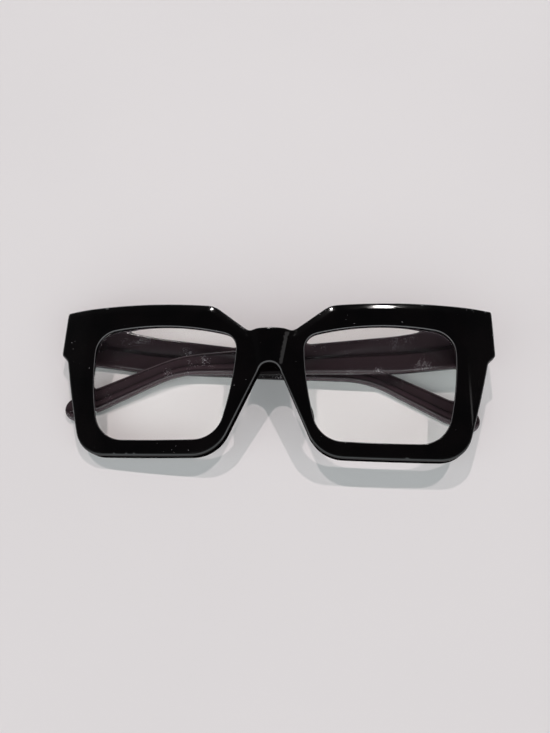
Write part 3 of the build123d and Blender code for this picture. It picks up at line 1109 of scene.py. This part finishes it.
@dataclass(frozen=True)
class Temple:
    """One temple with its curl inwards at the ear, in millimetres and degrees.

    The inner face covers the hinge's sunk plate, so that only its knuckles show.
    """

    bench: Bench
    side: Side
    standoff: float = 2.2
    inner_gap: float = -0.04
    curl_start: float = 88.0
    curl_angle: float = 6.2
    curl_radius: float = 90.0
    stations: tuple[float, ...] = (-2.1, 92.9, 133.2)
    thicknesses: tuple[float, ...] = (3.6, 3.05, 3.0)
    cut: float = 3.7
    point_step: float = 0.6
    edge: float = 0.95
    spacing: float = 1.0
    butt_top: float = 17.7
    bridge_half: float = 11.0
    bridge_fade: float = 4.0
    bridge_shade: float = 0.9

    def curl(self, points: Points) -> Points:
        """Finds how far the band has turned inwards.

        Args:
            points: rows of local x, y.

        Returns:
            One height for each point.
        """
        angle = math.radians(self.curl_angle)
        run = points[:, 0] - self.curl_start
        arc = self.curl_radius * math.sin(angle)
        bent = np.clip(run, 0, arc)
        sag = self.curl_radius - np.sqrt(self.curl_radius**2 - bent**2)
        return sag + np.clip(run - arc, 0, None) * math.tan(angle)

    def outer(self, points: Points) -> Points:
        """Depth of the outer face, measured inwards from the local plane z = 0."""
        thickness = np.interp(points[:, 0], self.stations, self.thicknesses)
        return self.curl(points) - self.standoff - thickness

    def inner(self, points: Points) -> Points:
        """Depth of the inner face."""
        return self.curl(points) - self.standoff - self.inner_gap

    def mark_bands(self, piece: Piece, outline: Points, axes: Axes) -> None:
        """Marks where each point lies across and along the temple, and the painted shade under the bridge.

        Args:
            piece: the temple.
            outline: its outline.
            axes: its axes.
        """
        local = axes.read_piece(piece)
        loop = turned(outline, True)
        loop = np.roll(loop, -int(np.argmax(loop[:, 0])), axis=0)
        butt = int(np.argmin(np.hypot(*(loop - (loop[:, 0].min(), self.butt_top)).T)))
        above = distance_to_line(local[:, :2], loop[: butt + 1])
        below = distance_to_line(local[:, :2], loop[butt:])
        off_middle = np.abs(axes.place(local)[:, 0]) / MM
        shade = np.clip((self.bridge_half - off_middle) / self.bridge_fade, 0, 1)
        mark(piece, "across", below / np.maximum(above + below, TINY))
        mark(piece, "along", local[:, 0] / loop[:, 0].max())
        # painted shade: a darker colour and no sheen where the temple runs under the bridge
        mark(piece, "wall", self.bridge_shade * shade)

    def build(self) -> None:
        """Builds and dresses the temple, and keeps its core."""
        node = f"temple_{self.side.word}"
        axes = self.bench.pose.temple(self.side)
        outline = self.bench.outlines(node, axes, self.curl, self.cut, self.point_step)[0]
        plan = SheetPlan(outline, [], self.outer, self.inner, self.edge, self.edge, self.spacing, steps=6)
        piece = sheet_solid(f"arm_{self.side.word}", plan, axes)
        self.mark_bands(piece, outline, axes)
        self.bench.keep(f"core_wire_{self.side.word}", Finish.CORE_METAL)
        self.bench.dress(piece, node, Finish.ACETATE, self.bench.looks.arm)


@dataclass(frozen=True)
class NosePad:
    """One nose pad, a domed oval that grows out of the back of the rim. Millimetres and degrees."""

    front: Front
    side: Side
    centre: Span = (11.0, -6.4)
    lean: float = 23.0
    splay: float = 1.6
    height: float = 4.8
    root: float = -0.6
    length: float = 15.0
    crown_length: float = 9.0
    width: float = 4.2
    crown_width: float = 2.2
    crown: float = 1.1
    squareness: float = 0.8
    least_fall: float = 0.0004
    least_half: float = 0.05
    slices: int = 14
    points: int = 56

    def slice(self, share: float) -> Points:
        """Finds the slice at a share of the way from the root on the rim to the crown.

        Args:
            share: how far up it lies, from 0 to 1.

        Returns:
            The slice's local points.
        """
        rise = self.root + (self.height - self.root) * math.sin(share * math.pi / 2)
        climb = max(rise, 0) / self.height
        over = max((rise - self.height + self.crown) / self.crown, 0)
        shrink = self.crown * (1 - math.sqrt(max(1 - over**2, self.least_fall)))
        length = (self.length + (self.crown_length - self.length) * climb) / 2 - shrink
        width = max((self.width + (self.crown_width - self.width) * climb) / 2 - shrink, self.least_half)
        angles = np.arange(self.points) * 2 * math.pi / self.points
        across, along = (
            half * np.sign(wave) * np.abs(wave) ** self.squareness
            for half, wave in ((width, np.cos(angles)), (length, np.sin(angles)))
        )
        turn = math.radians(self.side.value * self.lean)
        middle = self.side.value * (self.centre[0] + self.splay * climb)
        x = middle + across * math.cos(turn) - along * math.sin(turn)
        y = self.centre[1] + across * math.sin(turn) + along * math.cos(turn)
        flat = np.column_stack([x, y])
        return np.column_stack([flat, -(self.front.level(self.front.thickness)(flat) + rise)])

    def build(self) -> None:
        """Builds and dresses the pad."""
        bench = self.front.bench
        work = bmesh.new()
        rings = []
        for step in range(self.slices + 1):
            places = bench.front.place(self.slice(step / self.slices))
            rings.append([work.verts.new(place) for place in places])
        for low, high in zip(rings[:-1], rings[1:]):
            band(work, low, high)
        work.faces.new(rings[0])
        work.faces.new(rings[-1])
        bmesh.ops.recalc_face_normals(work, faces=work.faces)
        piece = mesh_object(f"soft_pad_{self.side.word}", work)
        bench.dress(piece, f"nose_pad_{self.side.word}", Finish.NOSE_PAD)


@dataclass(frozen=True)
class Hinge:
    """Both leaves of one hinge: a plate each, with its share of the knuckle stack. Millimetres."""

    bench: Bench
    side: Side
    axis_height: float = 18.2
    radius: float = 1.6
    bore: float = 0.73
    height: float = 1.25
    gap: float = 0.04
    edge: float = 0.14
    foot: float = 2.3
    arc_points: int = 25
    knuckle_step: float = 0.2
    knuckle_spacing: float = 0.5
    total: int = 5
    front_cut: float = -10.0
    temple_cut: float = 2.6
    plate: float = 0.8
    plate_edge: float = 0.1
    plate_step: float = 0.25

    def knuckle(self, stack: Axes) -> Piece:
        """Builds one knuckle with its bore and its foot towards the plate.

        Args:
            stack: the knuckle stack's axes.

        Returns:
            The knuckle.
        """
        angles = np.linspace(math.pi, 2 * math.pi, self.arc_points)
        arc = self.radius * np.column_stack([np.cos(angles), np.sin(angles)])
        outline = np.vstack([arc, [(self.radius, self.foot), (-self.radius, self.foot)]])
        bore = self.bore * np.column_stack([np.cos(2 * angles), np.sin(2 * angles)])[:-1]
        plan = SheetPlan(
            resample(outline, self.knuckle_step, 1),
            [resample(bore, self.knuckle_step, 0)],
            flat_at(-self.height),
            flat_at(0.0),
            self.edge,
            self.edge / 2,
            self.knuckle_spacing,
            steps=3,
        )
        return sheet_solid("knuckle_blank", plan, stack)

    def stack_up(self, plate: Piece, **values: object) -> None:
        """Repeats the knuckle over its plate with Geometry Nodes, applied to the plate's mesh.

        Args:
            plate: the plate that takes the knuckles.
            **values: the tree's inputs by name.
        """
        tree = bpy.data.node_groups.get("knuckle stack") or stack_tree()
        modifier = plate.modifiers.new("knuckles", "NODES")
        modifier.node_group = tree
        for socket in tree.interface.items_tree:
            if socket.in_out == "INPUT" and socket.name in values:
                modifier[socket.identifier] = values[socket.name]
        graph = bpy.context.evaluated_depsgraph_get()
        graph.update()
        applied = bpy.data.meshes.new_from_object(plate.evaluated_get(graph), depsgraph=graph)
        plate.modifiers.clear()
        plate.data = applied

    def build(self) -> None:
        """Builds and dresses both leaves, and keeps the screw."""
        word = self.side.word
        temple = self.bench.pose.temple(self.side)
        pitch = self.height + self.gap
        base = self.axis_height - (self.total * self.height + (self.total - 1) * self.gap) / 2
        hinge = temple.origin + temple.y * base * MM
        metal = self.bench.looks.by_finish[Finish.HINGE_METAL]
        for node, name, axes, level, first, count in (
            (f"front_hinge_leaf_{word}", "front_plate", self.bench.front, self.front_cut, 0, 3),
            (f"temple_hinge_leaf_{word}", "arm_plate", temple, self.temple_cut, 1, 2),
        ):
            outline = self.bench.outlines(node, axes, flat_at(0.0), level, self.plate_step, 1)[0]
            top = -level - self.plate / 2
            edge = self.plate_edge
            plan = SheetPlan(outline, [], flat_at(top), flat_at(top + self.plate), edge, edge, self.plate)
            plate = sheet_solid(f"{name}_{word}", plan, axes)
            blank = self.knuckle(Axes(hinge, axes.z.cross(temple.y).normalized(), axes.z, temple.y))
            start = temple.y * first * pitch * MM
            step = temple.y * 2 * pitch * MM
            self.stack_up(plate, Count=count, Start=start, Step=step, Knuckle=blank, Metal=metal)
            bpy.data.objects.remove(blank)
            self.bench.dress(plate, node, Finish.HINGE_METAL)
        self.bench.keep(f"hinge_screw_{word}", Finish.HINGE_METAL)


def stack_tree() -> Tree:
    """Makes the Geometry Nodes tree that stacks knuckles along the hinge axis.

    Returns:
        The tree.
    """
    tree = bpy.data.node_groups.new("knuckle stack", "GeometryNodeTree")
    kinds = {
        "Plate": "Geometry",
        "Count": "Int",
        "Start": "Vector",
        "Step": "Vector",
        "Knuckle": "Object",
        "Metal": "Material",
    }
    for label, kind in kinds.items():
        tree.interface.new_socket(label, in_out="INPUT", socket_type=f"NodeSocket{kind}")
    tree.interface.new_socket("Leaf", in_out="OUTPUT", socket_type="NodeSocketGeometry")
    net = NodeTree(tree)
    given = net.node("NodeGroupInput").outputs
    line = net.node("GeometryNodeMeshLine", {"mode": "OFFSET", "count_mode": "TOTAL"})
    net.feed(line, count=given["Count"], start_location=given["Start"], offset=given["Step"])
    single = net.node("GeometryNodeObjectInfo", {"transform_space": "ORIGINAL"}, object=given["Knuckle"])
    knuckle = single.outputs["Geometry"]
    copies = net.node("GeometryNodeInstanceOnPoints", points=line.outputs[0], instance=knuckle)
    real = net.node("GeometryNodeRealizeInstances", geometry=copies.outputs[0])
    both = net.node("GeometryNodeJoinGeometry", geometry=given["Plate"])
    net.feed(both, geometry=real.outputs[0])
    coat = net.node("GeometryNodeSetMaterial", geometry=both.outputs[0], material=given["Metal"])
    net.node("NodeGroupOutput", leaf=coat.outputs[0])
    return tree


@dataclass(frozen=True)
class Lamp:
    """A lamp over the glasses, in metres and watts, and whether polished faces mirror it."""

    name: str
    place: Place
    size: Span
    watts: float
    colour: Colour
    mirrored: bool


@dataclass(frozen=True)
class PhotoCamera:
    """The photograph's camera, in the front's axes, millimetres and pixels."""

    turn: Place = (-0.318272704, -0.0856800127, -0.0177923831)
    shift: Place = (-2.00283579, -4.52345869, -188.608104)
    focal: float = 587.167
    height: float = 733.0
    sensor: float = 24.0
    nearest: float = 0.01


@dataclass(frozen=True)
class Studio:
    """The table, the room's light and the photograph's camera. Metres."""

    front: Axes
    table_half: float = 1.6
    table_cells: int = 8
    lamps: tuple[Lamp, ...] = (
        Lamp("left lamp", (-0.69, 0.52, 3.0), (0.06, 0.06), 21.0, (1.0, 0.875, 0.88), False),
        Lamp("right lamp", (0.67, 0.49, 3.0), (0.06, 0.06), 21.0, (1.0, 0.875, 0.88), False),
        Lamp("far left lamp", (-0.68, 2.85, 3.0), (0.20, 0.20), 22.0, (1.0, 0.96, 0.95), True),
        Lamp("far right lamp", (0.63, 2.86, 3.0), (0.20, 0.20), 22.0, (1.0, 0.96, 0.95), True),
        Lamp("right panel", (2.0, 0.21, 2.89), (0.28, 0.34), 0.23, (1.0, 0.98, 0.98), True),
    )
    far_sky: Stops = ((0.0, 1.30), (0.18, 1.10), (0.26, 0.60), (0.33, 0.14), (0.42, 0.05), (1.0, 0.025))
    near_sky: Stops = ((0.0, 0.60), (0.20, 1.10), (0.36, 1.75), (0.80, 1.75), (0.97, 0.45), (1.0, 0.05))
    sky_tint: Colour = (0.92, 0.99, 1.0)
    sky_turnover: Span = (-0.42, -0.08)

    def floor(self) -> None:
        """A wide pale tabletop at the height the glasses lie on."""
        work = bmesh.new()
        cells = self.table_cells
        bmesh.ops.create_grid(work, x_segments=cells, y_segments=cells, size=self.table_half)
        table = mesh_object("tabletop", work)
        table.data.materials.append(TableTop().make())

    def world(self) -> None:
        """A room that is dark overhead and beyond the glasses, and pale on the viewer's side."""
        world = bpy.data.worlds.new("room")
        bpy.context.scene.world = world
        world.use_nodes = True
        net = NodeTree(world.node_tree)
        way = net.node("ShaderNodeTexCoord").outputs["Generated"]
        parts = net.node("ShaderNodeSeparateXYZ", vector=way).outputs
        skies = [net.ramp(parts["Z"], stops, self.sky_tint) for stops in (self.far_sky, self.near_sky)]
        colour = net.blend(net.spread(parts["Y"], self.sky_turnover, (1, 0)), *skies)
        net.feed(net.first("BACKGROUND"), color=colour)

    def light(self) -> None:
        """Two lamps throw the shadows, two far ones glint on the edges, and a panel shows in a facet."""
        for lamp in self.lamps:
            data = bpy.data.lights.new(lamp.name, "AREA")
            data.shape = "RECTANGLE"
            data.size, data.size_y = lamp.size
            data.energy = lamp.watts
            data.color = lamp.colour
            made = scene_object(data)
            made.location = lamp.place
            made.visible_glossy = lamp.mirrored
            made.visible_transmission = lamp.mirrored
            made.visible_diffuse = not lamp.mirrored
            made.rotation_euler = (-Vector(lamp.place)).to_track_quat("-Z", "Y").to_euler()

    def camera(self) -> None:
        """The camera where the photograph's stood over the front."""
        view = PhotoCamera()
        turn = Vector(view.turn)
        spin = np.array(Matrix.Rotation(turn.length, 3, turn.normalized()))
        place = self.front.place((-spin.T @ np.array(view.shift))[None, :])[0]
        axes = self.front.matrix() @ spin.T
        data = bpy.data.cameras.new("photo camera")
        data.sensor_fit = "VERTICAL"
        data.sensor_height = view.sensor
        data.lens = view.sensor * view.focal / view.height
        data.clip_start = view.nearest
        made = scene_object(data)
        made.matrix_world = Matrix.Translation(place) @ Matrix(axes.tolist()).to_4x4()
        bpy.context.scene.camera = made

    def build(self) -> None:
        """Makes the surroundings."""
        self.floor()
        self.world()
        self.light()
        self.camera()
        bpy.context.scene.view_settings.view_transform = "Standard"


def main() -> None:
    """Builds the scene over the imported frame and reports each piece."""
    logging.basicConfig(level=logging.INFO)
    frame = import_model()
    bench = Bench(frame, Looks())
    front = Front(bench)
    parts = [front]
    for side in Side:
        parts += [Lens(front, side), Temple(bench, side), NosePad(front, side), Hinge(bench, side)]
    for part in parts:
        part.build()
    for piece in bench.pieces:
        LOG.info("%s has %d faces", piece.name, len(piece.data.polygons))
    Studio(bench.front).build()


if __name__ == "__main__":
    main()
